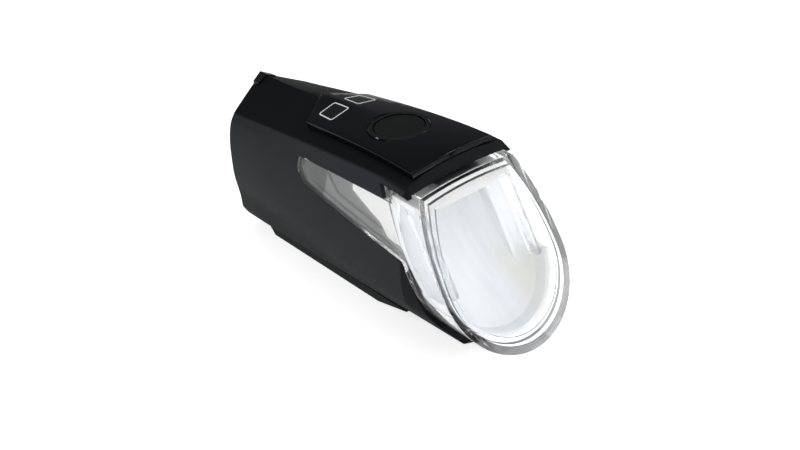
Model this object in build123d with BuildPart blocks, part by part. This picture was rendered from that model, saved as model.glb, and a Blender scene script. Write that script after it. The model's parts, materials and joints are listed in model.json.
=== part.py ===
from build123d import *
from math import sqrt
import os

os.makedirs("parts", exist_ok=True)

# A battery bike headlight, in millimetres. +Y points to the rear, so the lens faces -Y,
# +X is on the right seen from the front, +Z is up and z = 0 is the flat face of the foot.

# Main body: where its stretches lie along Y, and its walls.
tail_y = 54.7
waist_y = 20.0
neck_y = -17.0
hood_y = -27.3
nose_y = -46.0
body_half_width = 19.9
body_wall = 1.8
underside_z = 3.0
overrun = 4.0
fit_gap = 0.15
thin_gap = 0.05
tape_gap = 0.02

# Height that the body's shares refer to, and the slanted lip of the hood.
body_z = 53.0
hood_edge_z = 49.8
hood_lip_run = 2.2
hood_lip_z = 46.1
brow_depth = 1.8

# Tail: a shallow V in plan, with its point under the ridge.
tail_bow = 0.8
tail_sweep = 0.33
cap_thickness = 3.0
cap_recess = 0.5

# Lens cover: its outline seen from the front, its leaning face and its steps.
lens_side_step = 0.15
lens_corner_step = 4.5
lens_half_width = body_half_width - lens_side_step
lens_widest_z = 24.5
lens_base_z = 6.4
lens_top_z = 47.3
lens_crown = 0.7
lens_corner_x = body_half_width - lens_corner_step
lens_lean = 0.59
lens_face_y = -38.6
lens_face_z = 35.2
lens_depth = 13.6
lens_wall = 1.9
lens_front_wall = 2.4
lens_rim_width = 2.0
lens_groove_width = 1.6
lens_groove_depth = 1.0
lens_window_depth = 0.5
lens_edge_radius = 0.8
gasket_thickness = 0.6

# Side window: the clear wing that runs back from the lens along each side.
wing_wall = 1.7
wing_rear_y = 17.0
wing_rear_top_z = 39.4
wing_rear_low_z = 36.2
wing_bend_y = 13.4
wing_bend_z = 33.4
wing_front_y = -25.6
wing_front_top_z = 43.0
wing_foot_y = -30.4
wing_foot_z = 28.6
wing_corner_radius = 1.4

# Grey trays behind the side windows, with two steps and a pale panel.
tray_border = 1.5
tray_depth = 2.9
tray_reach = 9.3
tray_inner_x = body_half_width - tray_reach
tray_margin = 0.8
tray_shelf = 0.7
tray_step = 0.6
tray_mid_rear_y = 6.0
tray_pale_rear_y = -4.0
tray_pale_drop_y = -17.0
tray_mid_rise = 2.6
tray_pale_rise = 6.2
pale_panel_thickness = 0.6

# Foot: the rail that slides on a bracket.
foot_half_width = 10.2
foot_rear_y = 43.5
foot_front_y = -17.0
foot_ramp_y = -2.5
foot_bevel = 2.4
foot_edge = 0.5
slot_half_width = 4.4
slot_undercut = 1.5
slot_lip = 1.0
slot_depth = 1.3
slot_stop_y = -6.0
latch_y = 12.0
latch_width = 5.0
latch_length = 3.0
latch_depth = 0.4
foot_screw_x = 7.2
foot_screw_y = (2.0, 33.0)

# Top panel: a glossy plate on the roof, with a point at its rear.
panel_tape = 0.2
panel_thickness = 1.6
panel_low_z = 40.0
panel_round = 0.4
panel_steepness = 0.7
panel_front_y = -27.0
panel_front_x = 13.2
panel_rear_y = 19.4
panel_rear_x = 10.5
panel_point_y = 26.2
window_near_y = 12.2
window_far_y = 18.5
window_inner_x = 1.45
window_near_x = 7.7
window_far_x = 7.1
window_corner_radius = 0.5
tape_inset = 0.4
board_corner_radius = 1.5
pipe_margin = 1.2

# Push button on the ridge, its bezel ring, seal and switch.
button_y = -6.4
ring_radius = 8.15
ring_neck_radius = 7.5
ring_bore_radius = 6.85
ring_bevel = 0.25
ring_sink = 0.35
button_radius = 6.65
button_thickness = 1.2
button_recess = 0.15
button_round = 0.3
stem_radius = 1.6
seal_thickness = 0.5
well_depth = 4.2
well_floor = 1.2
well_hole_radius = 3.2
switch_size = 6.0
switch_height = 1.9
plunger_radius = 1.3
plunger_length = 1.75
stem_rise = 0.4
switch_bore_depth = 1.7
switch_gap = 0.1
board_post_x = 6.6
board_post_y = 7.4
board_post_radius = 1.4
button_board_thickness = 1.0
button_board_half_width = 8.6
button_board_front_y = -13.8
button_board_rear_y = 21.0
led_size = 1.8
led_height = 0.7

# Reflector: half a parabola turned about a level line through the emitter.
focus_z = 41.4
focus_length = 9.0
emitter_y = -27.0
reflector_shell = 1.7
reflector_front = 4.4
reflector_side_gap = 0.3
reflector_rim = 1.0
reflector_rim_depth = 8.0
reflector_rim_top_z = 22.0
reflector_cheek = 1.0
reflector_reach = 36.0
emitter_size = 3.4
emitter_height = 0.8
emitter_clearance = 0.2
emitter_dome_radius = 1.4
ceiling_thickness = 1.0
ceiling_front = 2.5
ceiling_wall = 0.7
ceiling_rear_y = -15.6
ceiling_side_room = 7.9
ceiling_half_width = body_half_width - ceiling_side_room
ceiling_window = 5.4
sink_screw_y = -17.3
sink_screw_x = 4.6
sink_screw_length = 3.2
sink_boss_radius = 1.7
led_board_thickness = 1.0
led_board_half_width = 6.5
led_board_length = 6.4
sink_thickness = 1.2
sink_half_width = 7.0
sink_front_y = -29.2
sink_rear_y = -14.2
sink_foot_z = 31.5
guide_thickness = 1.0
guide_side_room = 5.3
guide_x = body_half_width - guide_side_room
guide_front = 4.0
guide_depth = 4.6
guide_low_z = 21.0

# Cell, cradle and main board.
cell_radius = 9.2
cell_length = 65.0
cell_front_y = -19.6
cell_z = 16.9
cell_button_radius = 3.0
cell_button_height = 0.8
cradle_gap = 0.2
cradle_wall = 1.2
cradle_pad_half_width = 4.5
cradle_front_stop = 1.2
cradle_rear_y = 37.0
cradle_rim_rise = 1.0
cradle_post_x = 10.9
cradle_post_radius = 1.3
post_low_z = 12.5
tab_thickness = 0.3
tab_half_width = 3.0
board_z = 28.4
board_thickness = 1.2
board_half_width = 12.0
board_front_y = -11.0
board_rear_y = 38.0
post_inset = 2.6
foam_half_width = 5.0
foam_front_y = 4.0
foam_rear_y = 30.0
end_foam_radius = 5.0

# Parts on the boards: chips as (x, y, width, length, height), and the two pin headers.
chip_places = (
    (-4.0, 12.0, 7.0, 7.0, 1.0),
    (6.0, 2.0, 4.0, 5.0, 1.2),
    (-5.5, -4.0, 5.0, 4.4, 2.4),
    (5.5, 24.0, 5.4, 5.4, 2.8),
)
header_half_width = 5.0
header_length = 1.6
button_header_y = 17.4

# Screws.
screw_radius = 0.8
screw_head_radius = 1.5
screw_head_height = 0.9
screw_socket_radius = 0.7
screw_length = 4.2
foot_screw_length = 4.0
boss_radius = 2.3

# Rear cap: charge port, its small board, and the rubber flap over it.
port_z = 36.0
port_half_width = 4.47
port_half_height = 1.6
port_length = 7.2
port_wall = 0.3
port_mouth_y = 49.7
port_tongue_half_width = 3.3
port_tongue_half_height = 0.35
port_tongue_recess = 0.8
port_board_half_width = 6.5
port_board_thickness = 0.8
port_board_length = 9.4
cap_block_half_width = 8.0
cap_block_low_z = 25.6
cap_block_high_z = 39.6
cap_block_depth = 5.4
flap_half_width = 6.6
flap_low_z = 31.6
flap_thickness = 1.6
flap_gap = 0.3
flap_foot_gap = 0.6
flap_tab_half_width = 3.1
flap_tab_rise = 0.45
flap_tab_run = 2.8
flap_tab_overhang = 0.35
flap_notch_depth = 1.0
plug_half_width = 4.6
plug_half_height = 1.9
plug_depth = 2.2
plug_gap = 0.5
hinge_y = 52.2
hinge_z = 29.0
hinge_slot_low_z = 25.7
hinge_slot_depth = 1.4
tongue_thickness = 1.2
tongue_rise = 0.5
knuckle_radius = 1.1
knuckle_half_width = 2.2
pin_radius = 0.5
pin_half_length = 4.0
cap_screw_low = (8.6, 8.4)
cap_screw_high = (10.4, 33.0)
cap_seal_width = 0.8
cap_seal_depth = 0.7
cap_seal_offset = 2.1

# Shares of the body's half-width and height, from the tail to the nose: place along Y, ridge
# height, roof pitch, how rounded the roof is (0 is a sharp ridge), shoulder width, upper and lower
# side points, crease, keel and sole.
station_shares = (
    (tail_y + overrun, 0.834, 0.60, 0.0, 0.578,
     (0.760, 0.60), (0.770, 0.49), (0.758, 0.385), (0.718, 0.135), (0.322, -0.02)),
    (waist_y, 0.894, 0.281, 0.3, 0.732,
     (0.880, 0.62), (0.925, 0.48), (0.895, 0.370), (0.653, 0.117), (0.334, -0.02)),
    (neck_y, 0.945, 0.128, 0.9, 0.803,
     (0.930, 0.66), (0.970, 0.47), (0.905, 0.275), (0.618, 0.118), (0.285, -0.02)),
    (nose_y, 0.924, 0.042, 1.0, 0.950,
     (0.960, 0.70), (1.000, 0.46), (0.700, 0.175), (0.600, 0.125), (0.327, 0.119)),
)


def body_section(station, inset):
    """Draw one closed section of the body, with every corner moved in by the inset."""
    y, ridge, pitch, crown, shoulder, upper, lower, crease, keel, sole = station
    ridge_z = ridge * body_z - inset
    shoulder_x = shoulder * body_half_width - inset
    drop = pitch * shoulder_x
    keel_corner = (keel[0] * body_half_width - inset, keel[1] * body_z + inset / 2)
    sole_z = sole[1] * body_z + inset
    sole_corner = (sole[0] * body_half_width - inset / 2, sole_z)
    side = [(shoulder_x, ridge_z - drop)]
    for width_share, height_share in (upper, lower, crease):
        side.append((width_share * body_half_width - inset, height_share * body_z))
    with BuildSketch(Plane.XZ.offset(-y)) as section:
        with BuildLine():
            Bezier((0, ridge_z), (shoulder_x / 2, ridge_z - (1 - crown) * drop / 2), side[0])
            Spline(*side)
            Line(side[-1], keel_corner)
            Line(keel_corner, sole_corner)
            Line(sole_corner, (0, sole_z))
            mirror(about=Plane.YZ)
        make_face()
    return section.sketch.face()


def body_solid(inset):
    """The body's whole outer form, moved in by the inset."""
    with BuildPart() as form:
        loft(sections=[body_section(station, inset) for station in station_shares])
    return form.part


def side_prism(outline, half_width=body_half_width + overrun):
    """A block with a side outline in Y and Z, equally wide to both sides of the middle."""
    with BuildPart() as block:
        with BuildSketch(Plane.YZ):
            with BuildLine():
                Polyline(*outline, close=True)
            make_face()
        extrude(amount=half_width, both=True)
    return block.part


def level_block(half_width, y_low, y_high, z_low, z_high):
    """An upright block that is centred on the middle plane."""
    outline = ((y_low, z_low), (y_high, z_low), (y_high, z_high), (y_low, z_high))
    return side_prism(outline, half_width)


def behind_tail(offset):
    """Everything behind the V of the tail, moved forward by the offset."""
    reach = body_half_width + overrun
    point_y = tail_y - offset
    side_y = point_y - tail_sweep * reach
    far_y = tail_y + 3 * overrun
    with BuildPart() as block:
        with BuildSketch():
            with BuildLine():
                ThreePointArc((0, point_y), (reach / 2, (point_y + side_y) / 2 + tail_bow), (reach, side_y))
                Polyline((reach, side_y), (reach, far_y), (0, far_y))
                mirror(about=Plane.YZ)
            make_face()
        extrude(amount=body_z + overrun)
    return block.part


def lens_line(z, offset):
    """Where the leaning face of the lens, moved back by the offset, meets a height."""
    return lens_face_y + lens_lean * (z - lens_face_z) + offset


def leaning_band(near, far):
    """The space between two planes that lean as the lens does."""
    low_z = -overrun
    high_z = body_z + overrun
    return side_prism((
        (lens_line(low_z, near), low_z),
        (lens_line(low_z, far), low_z),
        (lens_line(high_z, far), high_z),
        (lens_line(high_z, near), high_z),
    ))


def lens_column(inset, front_y=nose_y - 4 * overrun, rear_y=neck_y + overrun):
    """The lens outline, moved in by the inset and run along Y."""
    corner = (lens_corner_x - inset, lens_top_z - lens_crown - inset)
    widest = (lens_half_width - inset, lens_widest_z)
    with BuildPart() as column:
        with BuildSketch(Plane.XZ.offset(-rear_y)):
            with BuildLine():
                TangentArc((0, lens_top_z - inset), corner, tangent=(1, 0))
                TangentArc(widest, corner, tangent=(0, 1))
                EllipticalCenterArc((0, lens_widest_z), lens_half_width - inset,
                                    lens_widest_z - lens_base_z - inset, start_angle=270, arc_size=90)
                mirror(about=Plane.YZ)
            make_face()
        extrude(amount=rear_y - front_y)
    return column.part


def plan_prism(outline, low_z=underside_z, high_z=body_z + overrun, corner_radius=0):
    """A block with a plan outline in X and Y, its corners rounded if a radius is given."""
    with BuildPart() as block:
        with BuildSketch(Plane.XY.offset(low_z)):
            with BuildLine():
                Polyline(*outline, close=True)
            make_face()
            if corner_radius:
                fillet(vertices(), radius=corner_radius)
        extrude(amount=high_z - low_z)
    return block.part


def wing_outline(grow):
    """Side outline of the window, grown by a margin on its rear, top and low sides."""
    return (
        (wing_front_y, wing_front_top_z + grow),
        (wing_rear_y + grow, wing_rear_top_z + grow),
        (wing_rear_y + grow, wing_rear_low_z),
        (wing_bend_y, wing_bend_z - grow),
        (wing_foot_y, wing_foot_z - grow),
    )


def wing_prism(grow):
    """The window's side outline with its rear corners rounded, run across the body."""
    with BuildPart() as block:
        with BuildSketch(Plane.YZ):
            with BuildLine():
                Polyline(*wing_outline(grow), close=True)
            make_face()
            rear_corners = vertices().group_by(Axis.X)[-1]
            fillet(rear_corners, radius=wing_corner_radius + grow)
        extrude(amount=body_half_width + overrun, both=True)
    return block.part


def brick(x_low, x_high, y_low, y_high, z_low, z_high):
    """A plain block between two corners."""
    with BuildPart() as block:
        with BuildSketch(Plane.XY.offset(z_low)):
            with Locations(((x_low + x_high) / 2, (y_low + y_high) / 2)):
                Rectangle(x_high - x_low, y_high - y_low)
        extrude(amount=z_high - z_low)
    return block.part


def rod(plane, radius, length):
    """A round rod that starts on the plane and follows its normal."""
    with BuildPart() as part:
        with BuildSketch(plane):
            Circle(radius)
        extrude(amount=length)
    return part.part


def tube(plane, radius, bore, length):
    """A rod with a bore right through it."""
    with BuildPart() as part:
        with BuildSketch(plane):
            Circle(radius)
            Circle(bore, mode=Mode.SUBTRACT)
        extrude(amount=length)
    return part.part


def flat_bottomed(form, low_z):
    """The part of a form that lies above a level plane."""
    with BuildPart() as part:
        add(form)
        add(brick(-body_half_width - overrun, body_half_width + overrun, nose_y - 4 * overrun,
                  tail_y + 3 * overrun, low_z, body_z + overrun), mode=Mode.INTERSECT)
    return part.part


def window_outline(side, inset):
    """Plan outline of a mode window on one side of the ridge, moved in by the inset."""
    return (
        (side * (window_inner_x + inset), window_near_y + inset),
        (side * (window_near_x - inset), window_near_y + inset),
        (side * (window_far_x - inset), window_far_y - inset),
        (side * (window_inner_x + inset), window_far_y - inset),
    )


def panel_outline(inset):
    """Plan outline of the top panel: straight sides and a point at the rear."""
    return (
        (-panel_front_x + inset, panel_front_y + inset),
        (panel_front_x - inset, panel_front_y + inset),
        (panel_rear_x - inset, panel_rear_y - inset / 2),
        (0, panel_point_y - inset),
        (-panel_rear_x + inset, panel_rear_y - inset / 2),
    )


def wing_top_z(y):
    """Height of the side window's upper edge."""
    share = (y - wing_front_y) / (wing_rear_y - wing_front_y)
    return wing_front_top_z + share * (wing_rear_top_z - wing_front_top_z)


def wing_low_z(y):
    """Height of the side window's lower edge."""
    share = (y - wing_foot_y) / (wing_bend_y - wing_foot_y)
    return wing_foot_z + share * (wing_bend_z - wing_foot_z)


def screw(plane, length):
    """A small machine screw: its head lies above the plane and its shank below."""
    with BuildPart() as part:
        with BuildSketch(plane):
            Circle(screw_head_radius)
        extrude(amount=screw_head_height)
        chamfer(part.faces().sort_by(Axis(plane.origin, plane.z_dir))[-1].edges(), length=screw_head_height / 4)
        with BuildSketch(plane.offset(screw_head_height)):
            RegularPolygon(screw_socket_radius, 6)
        extrude(amount=-screw_head_height / 2, mode=Mode.SUBTRACT)
        with BuildSketch(plane):
            Circle(screw_radius)
        extrude(amount=-length)
    return part.part


def screw_hole(plane, length):
    """Clearance for a screw's shank, from a little above its seat."""
    return rod(plane.offset(overrun), screw_radius + thin_gap, -length - overrun - thin_gap)


def keep(builder, name):
    """Label a finished piece and write it as its own file."""
    builder.part.label = name
    export_step(builder.part, f"parts/{name}.step")
    print(name, len(builder.part.solids()), round(builder.part.volume, 1))


outer_form = body_solid(0)
cavity_form = body_solid(body_wall)
floor_z = underside_z + body_wall
body_form = flat_bottomed(outer_form, underside_z)
inner_space = flat_bottomed(cavity_form, floor_z)



def ridge_height(y):
    """Height of the body's roof close beside the ridge, at a place along it."""
    hits = outer_form.find_intersection_points(Axis((thin_gap, y, 0), (0, 0, 1)))
    return max(point.Z for point, normal in hits)


# The button's plane: square to the ridge, at the top of the bezel ring. Below it lie the
# well's floor, the switch and the button board, all square to the same line.
panel_top = panel_tape + panel_thickness
button_fall = ridge_height(button_y - ring_radius) - ridge_height(button_y + ring_radius)
button_slope = button_fall / (2 * ring_radius)
button_top = Plane(
    origin=(0, button_y, ridge_height(button_y) + panel_top - ring_sink),
    x_dir=(1, 0, 0),
    z_dir=(0, button_slope, 1),
)
well_radius = ring_neck_radius + thin_gap
switch_top = button_top.offset(-well_depth - well_floor - switch_gap)
board_top = switch_top.offset(-switch_height)

# Screw seats: each plane faces the way its screw comes out.
low_x, low_z = cap_screw_low
high_x, high_z = cap_screw_high


def cap_screw_plane(side, x, z):
    seat_y = tail_y - cap_recess - tail_sweep * (x + screw_head_radius) - screw_head_height
    return Plane(origin=(side * x, seat_y, z), x_dir=(-1, 0, 0), z_dir=(0, 1, 0))


cap_screw_planes = [cap_screw_plane(side, x, z) for side in (-1, 1) for x, z in (cap_screw_low, cap_screw_high)]
slot_roof_z = slot_lip + slot_depth
foot_screw_planes = [Plane(origin=(side * foot_screw_x, y, floor_z)) for side in (-1, 1) for y in foot_screw_y]
board_bottom = board_top.offset(-button_board_thickness)
button_board_screw_planes = [
    Plane(origin=board_bottom.from_local_coords((side * board_post_x, board_post_y - board_bottom.origin.Y)),
          x_dir=(1, 0, 0), z_dir=-board_top.z_dir)
    for side in (-1, 1)
]
cell_front = Plane(origin=(0, cell_front_y, cell_z), x_dir=(-1, 0, 0), z_dir=(0, 1, 0))
board_top_z = board_z + board_thickness
post_places = [(side * cradle_post_x, y) for side in (-1, 1)
               for y in (board_front_y + post_inset, board_rear_y - post_inset)]
main_board_screw_planes = [Plane(origin=(x, y, board_top_z)) for x, y in post_places]
sink_z = focus_z + emitter_clearance + ceiling_thickness + led_board_thickness
sink_top_z = sink_z + sink_thickness
sink_screw_planes = [Plane(origin=(side * sink_screw_x, sink_screw_y, sink_top_z)) for side in (-1, 1)]

# Housing: one moulded shell with its hood, floor bosses and button well.
with BuildPart() as bosses:
    for side in (-1, 1):
        with Locations((side * low_x, tail_y - 4 * overrun, low_z + boss_radius)):
            Box(2 * boss_radius, 4 * overrun, low_z + boss_radius - floor_z + body_wall / 2,
                align=(Align.CENTER, Align.MIN, Align.MAX))
        with Locations((side * (high_x - boss_radius), tail_y - 4 * overrun, high_z)):
            Box(body_half_width - high_x + boss_radius, 4 * overrun, 2 * boss_radius,
                align=(Align.MIN if side > 0 else Align.MAX, Align.MIN, Align.CENTER))
    with Locations(button_top.location):
        Cylinder(well_radius + body_wall, well_depth + well_floor,
                 align=(Align.CENTER, Align.CENTER, Align.MAX))
    for plane in button_board_screw_planes:
        add(rod(plane.offset(-button_board_thickness - thin_gap), board_post_radius, -body_z))
    add(level_block(body_half_width + overrun, hood_y - hood_lip_run, hood_y + brow_depth,
                    hood_lip_z, body_z + overrun))
    add(rod(cell_front, cell_radius + cradle_gap, cell_length), mode=Mode.SUBTRACT)
    add(body_form, mode=Mode.INTERSECT)

with BuildPart() as cap_space:
    add(inner_space)
    add(behind_tail(cap_recess + cap_thickness + thin_gap), mode=Mode.INTERSECT)

with BuildPart() as lens_space:
    add(lens_column(-fit_gap))
    add(leaning_band(-4 * overrun, lens_depth + gasket_thickness), mode=Mode.INTERSECT)

flap_tab_front_y = tail_y - flap_tab_run
with BuildPart() as flap_space:
    add(level_block(flap_tab_half_width + flap_gap, flap_tab_front_y - flap_gap, tail_y + overrun, port_z, body_z))
    add(body_solid(flap_notch_depth), mode=Mode.SUBTRACT)

with BuildPart() as flap_neck_space:
    add(level_block(flap_tab_half_width + flap_gap, flap_tab_front_y - overrun, tail_y + overrun, port_z, body_z))
    add(behind_tail(cap_recess + flap_thickness + flap_gap), mode=Mode.INTERSECT)

with BuildPart() as housing_shell:
    add(body_form)
    add(inner_space, mode=Mode.SUBTRACT)
    add(bosses.part)
    add(behind_tail(0), mode=Mode.SUBTRACT)
    add(cap_space.part, mode=Mode.SUBTRACT)
    add(side_prism((
        (nose_y - 4 * overrun, body_z + overrun),
        (hood_y, body_z + overrun),
        (hood_y, hood_edge_z),
        (hood_y - hood_lip_run, hood_lip_z),
        (lens_line(hood_lip_z, lens_depth + gasket_thickness), hood_lip_z),
        (lens_line(-overrun, lens_depth + gasket_thickness), -overrun),
        (nose_y - 4 * overrun, -overrun),
    )), mode=Mode.SUBTRACT)
    add(lens_space.part, mode=Mode.SUBTRACT)
    add(wing_prism(fit_gap), mode=Mode.SUBTRACT)
    with Locations(button_top.location):
        Cylinder(well_radius, well_depth, align=(Align.CENTER, Align.CENTER, Align.MAX), mode=Mode.SUBTRACT)
        Cylinder(well_hole_radius, well_depth + 2 * well_floor, align=(Align.CENTER, Align.CENTER, Align.MAX),
                 mode=Mode.SUBTRACT)
    for side in (-1, 1):
        add(plan_prism(window_outline(side, pipe_margin - fit_gap), floor_z), mode=Mode.SUBTRACT)
    for plane in cap_screw_planes + foot_screw_planes + button_board_screw_planes:
        add(screw_hole(plane, screw_length), mode=Mode.SUBTRACT)
    add(flap_space.part, mode=Mode.SUBTRACT)
    add(flap_neck_space.part, mode=Mode.SUBTRACT)
keep(housing_shell, "housing_shell")

# Lens cover: leaning front face with a stepped rim, a deep skirt and the two side wings.
with BuildPart() as hollow:
    add(lens_column(lens_wall))
    add(leaning_band(lens_front_wall, lens_depth + overrun), mode=Mode.INTERSECT)

with BuildPart() as groove:
    add(lens_column(lens_rim_width))
    add(lens_column(lens_rim_width + lens_groove_width), mode=Mode.SUBTRACT)
    add(leaning_band(-overrun, lens_groove_depth), mode=Mode.INTERSECT)

with BuildPart() as face_recess:
    add(lens_column(lens_rim_width))
    add(leaning_band(-overrun, lens_window_depth), mode=Mode.INTERSECT)

with BuildPart() as wings:
    add(outer_form)
    add(body_solid(wing_wall), mode=Mode.SUBTRACT)
    add(wing_prism(0), mode=Mode.INTERSECT)

with BuildPart() as lens_cover:
    add(lens_column(0))
    add(leaning_band(0, lens_depth), mode=Mode.INTERSECT)
    fillet(edges().group_by(SortBy.LENGTH)[0], radius=lens_edge_radius)
    add(hollow.part, mode=Mode.SUBTRACT)
    add(groove.part, mode=Mode.SUBTRACT)
    add(face_recess.part, mode=Mode.SUBTRACT)
    add(wings.part)
keep(lens_cover, "lens_cover")

# Lens gasket: a soft ring between the lens skirt and the shell.
with BuildPart() as lens_gasket:
    add(lens_column(fit_gap))
    add(lens_column(body_wall - fit_gap), mode=Mode.SUBTRACT)
    add(leaning_band(lens_depth, lens_depth + gasket_thickness), mode=Mode.INTERSECT)
    add(brick(-body_half_width, body_half_width, nose_y - overrun, tail_y, 0, wing_foot_z - overrun / 2),
        mode=Mode.INTERSECT)
keep(lens_gasket, "lens_gasket")

# Reflector: half of a parabola turned about the level line through the emitter.
vertex_y = emitter_y + focus_length


def parabola_bowl(shift):
    """The solid inside the turned parabola, moved back by the shift."""
    back_y = vertex_y + shift
    edge_y = back_y - reflector_reach ** 2 / (4 * focus_length)
    with BuildPart() as bowl:
        with BuildSketch(Plane.YZ):
            with BuildLine():
                Bezier((back_y, focus_z), (back_y, focus_z - reflector_reach / 2), (edge_y, focus_z - reflector_reach))
                Polyline((edge_y, focus_z - reflector_reach), (edge_y, focus_z), (back_y, focus_z))
            make_face()
        revolve(axis=Axis((0, 0, focus_z), (0, 1, 0)))
    return bowl.part


with BuildPart() as reflector_back:
    add(leaning_band(lens_depth, lens_depth + 4 * overrun))
    add(level_block(ceiling_half_width, nose_y, tail_y, 0, body_z), mode=Mode.SUBTRACT)

with BuildPart() as reflector_rim_ring:
    add(lens_column(lens_wall + reflector_side_gap))
    add(lens_column(lens_wall + reflector_side_gap + reflector_rim), mode=Mode.SUBTRACT)
    add(leaning_band(reflector_front, reflector_front + reflector_rim_depth), mode=Mode.INTERSECT)
    add(level_block(body_half_width, nose_y - 4 * overrun, tail_y, 0, reflector_rim_top_z), mode=Mode.INTERSECT)

with BuildPart() as reflector_cheeks:
    add(leaning_band(lens_depth - reflector_cheek, lens_depth + 4 * overrun))
    add(level_block(ceiling_half_width - reflector_cheek, nose_y - 4 * overrun, tail_y, 0, body_z),
        mode=Mode.SUBTRACT)
    add(parabola_bowl(reflector_shell / 2), mode=Mode.INTERSECT)

with BuildPart() as reflector:
    add(parabola_bowl(reflector_shell))
    add(parabola_bowl(0), mode=Mode.SUBTRACT)
    add(reflector_cheeks.part)
    add(reflector_rim_ring.part)
    add(lens_column(lens_wall + reflector_side_gap), mode=Mode.INTERSECT)
    add(leaning_band(reflector_front, lens_depth + 4 * overrun), mode=Mode.INTERSECT)
    add(level_block(body_half_width, nose_y - 4 * overrun, tail_y, 0, focus_z + emitter_clearance - thin_gap),
        mode=Mode.INTERSECT)
    add(reflector_back.part, mode=Mode.SUBTRACT)
keep(reflector, "reflector")

# Ceiling plate: the pale plate over the bowl, with a window for the emitter.
ceiling_z = focus_z + emitter_clearance
ceiling_top_z = ceiling_z + ceiling_thickness
with BuildPart() as ceiling_lip:
    add(lens_column(lens_wall + reflector_side_gap))
    add(leaning_band(ceiling_front, ceiling_front + ceiling_wall), mode=Mode.INTERSECT)
    add(level_block(body_half_width, nose_y, tail_y, ceiling_z, body_z), mode=Mode.INTERSECT)

with BuildPart() as ceiling_plate:
    add(lens_column(lens_wall + reflector_side_gap))
    add(leaning_band(ceiling_front, lens_depth), mode=Mode.INTERSECT)
    add(brick(-tray_inner_x + fit_gap, tray_inner_x - fit_gap, lens_line(ceiling_z, lens_depth) - overrun,
              ceiling_rear_y, ceiling_z, ceiling_top_z))
    add(level_block(body_half_width, nose_y, tail_y, ceiling_z, ceiling_top_z), mode=Mode.INTERSECT)
    add(ceiling_lip.part)
    add(brick(-ceiling_window / 2, ceiling_window / 2, emitter_y - ceiling_window / 2,
              emitter_y + ceiling_window / 2, 0, body_z), mode=Mode.SUBTRACT)
    for plane in sink_screw_planes:
        x, y, z = plane.origin
        with Locations((x, y, ceiling_top_z)):
            Cylinder(sink_boss_radius, led_board_thickness, align=(Align.CENTER, Align.CENTER, Align.MIN))
        add(screw_hole(plane, sink_screw_length), mode=Mode.SUBTRACT)
keep(ceiling_plate, "ceiling_plate")

# Emitter on its board, and the heat sink above and behind.
with BuildPart() as led_emitter:
    add(brick(-emitter_size / 2, emitter_size / 2, emitter_y - emitter_size / 2, emitter_y + emitter_size / 2,
              ceiling_top_z - emitter_height, ceiling_top_z))
    with Locations((0, emitter_y, ceiling_top_z - emitter_height)):
        Sphere(emitter_dome_radius, arc_size1=-90, arc_size2=0)
keep(led_emitter, "led_emitter")

with BuildPart() as led_board:
    add(brick(-led_board_half_width, led_board_half_width, emitter_y - led_board_length / 2,
              emitter_y + led_board_length / 2, ceiling_top_z, sink_z))
keep(led_board, "led_board")

with BuildPart() as heat_sink:
    add(brick(-sink_half_width, sink_half_width, sink_front_y, sink_rear_y, sink_z, sink_top_z))
    add(brick(-sink_half_width, sink_half_width, sink_rear_y - sink_thickness, sink_rear_y, sink_foot_z, sink_top_z))
    for plane in sink_screw_planes:
        add(screw_hole(plane, sink_screw_length), mode=Mode.SUBTRACT)
keep(heat_sink, "heat_sink")

with BuildPart() as sink_screws:
    for plane in sink_screw_planes:
        add(screw(plane, sink_screw_length))
keep(sink_screws, "sink_screws")

# Side guides: clear fins between the bowl and the lens skirt.
for side, name in ((-1, "left_light_guide"), (1, "right_light_guide")):
    inner_x, outer_x = sorted((side * guide_x, side * (guide_x - guide_thickness)))
    with BuildPart() as guide:
        add(brick(inner_x, outer_x, nose_y - 4 * overrun, tail_y, guide_low_z, ceiling_z - thin_gap))
        add(leaning_band(guide_front, guide_front + guide_depth), mode=Mode.INTERSECT)
        fillet(guide.edges().filter_by(Axis.X).sort_by(Axis.Z)[:2], radius=guide_depth / 4)
    keep(guide, name)

# Trays behind the side windows: each has a rim, a dark floor, a lighter step and a pale panel.
tray_face = body_wall + fit_gap
tray_floor = tray_face + tray_shelf
tray_low = tray_floor + tray_step
tray_pocket = tray_low + tray_step
tray_back = tray_face + tray_depth
tray_form = body_solid(tray_face)
floor_form = body_solid(tray_floor)
low_form = body_solid(tray_low)
pocket_form = body_solid(tray_pocket)
back_form = body_solid(tray_back)
tray_front_y = wing_foot_y - overrun
mid_outline = (
    (tray_front_y, wing_top_z(tray_front_y) - tray_margin),
    (tray_mid_rear_y, wing_top_z(tray_mid_rear_y) - tray_margin),
    (tray_mid_rear_y - tray_step, wing_low_z(tray_mid_rear_y) + 2 * tray_mid_rise),
    (tray_mid_rear_y - 2 * tray_mid_rise, wing_low_z(tray_mid_rear_y - 2 * tray_mid_rise) + tray_mid_rise),
    (tray_front_y, wing_low_z(tray_front_y) + tray_mid_rise),
)
pale_outline = (
    (tray_front_y, wing_top_z(tray_front_y) - tray_margin),
    (tray_pale_rear_y, wing_top_z(tray_pale_rear_y) - tray_margin),
    (tray_pale_rear_y - tray_step, wing_low_z(tray_pale_rear_y) + tray_pale_rise),
    (tray_pale_drop_y, wing_low_z(tray_pale_drop_y) + tray_pale_rise - tray_mid_rise),
    (tray_pale_drop_y - tray_mid_rise, wing_low_z(tray_pale_drop_y) + tray_margin),
    (tray_front_y, wing_low_z(tray_front_y) + tray_margin),
)
right_space = brick(0, body_half_width + overrun, nose_y - 4 * overrun, tail_y, 0, body_z)
left_space = brick(-body_half_width - overrun, 0, nose_y - 4 * overrun, tail_y, 0, body_z)
behind_lens = leaning_band(lens_depth + fit_gap, lens_depth + 20 * overrun)

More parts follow.
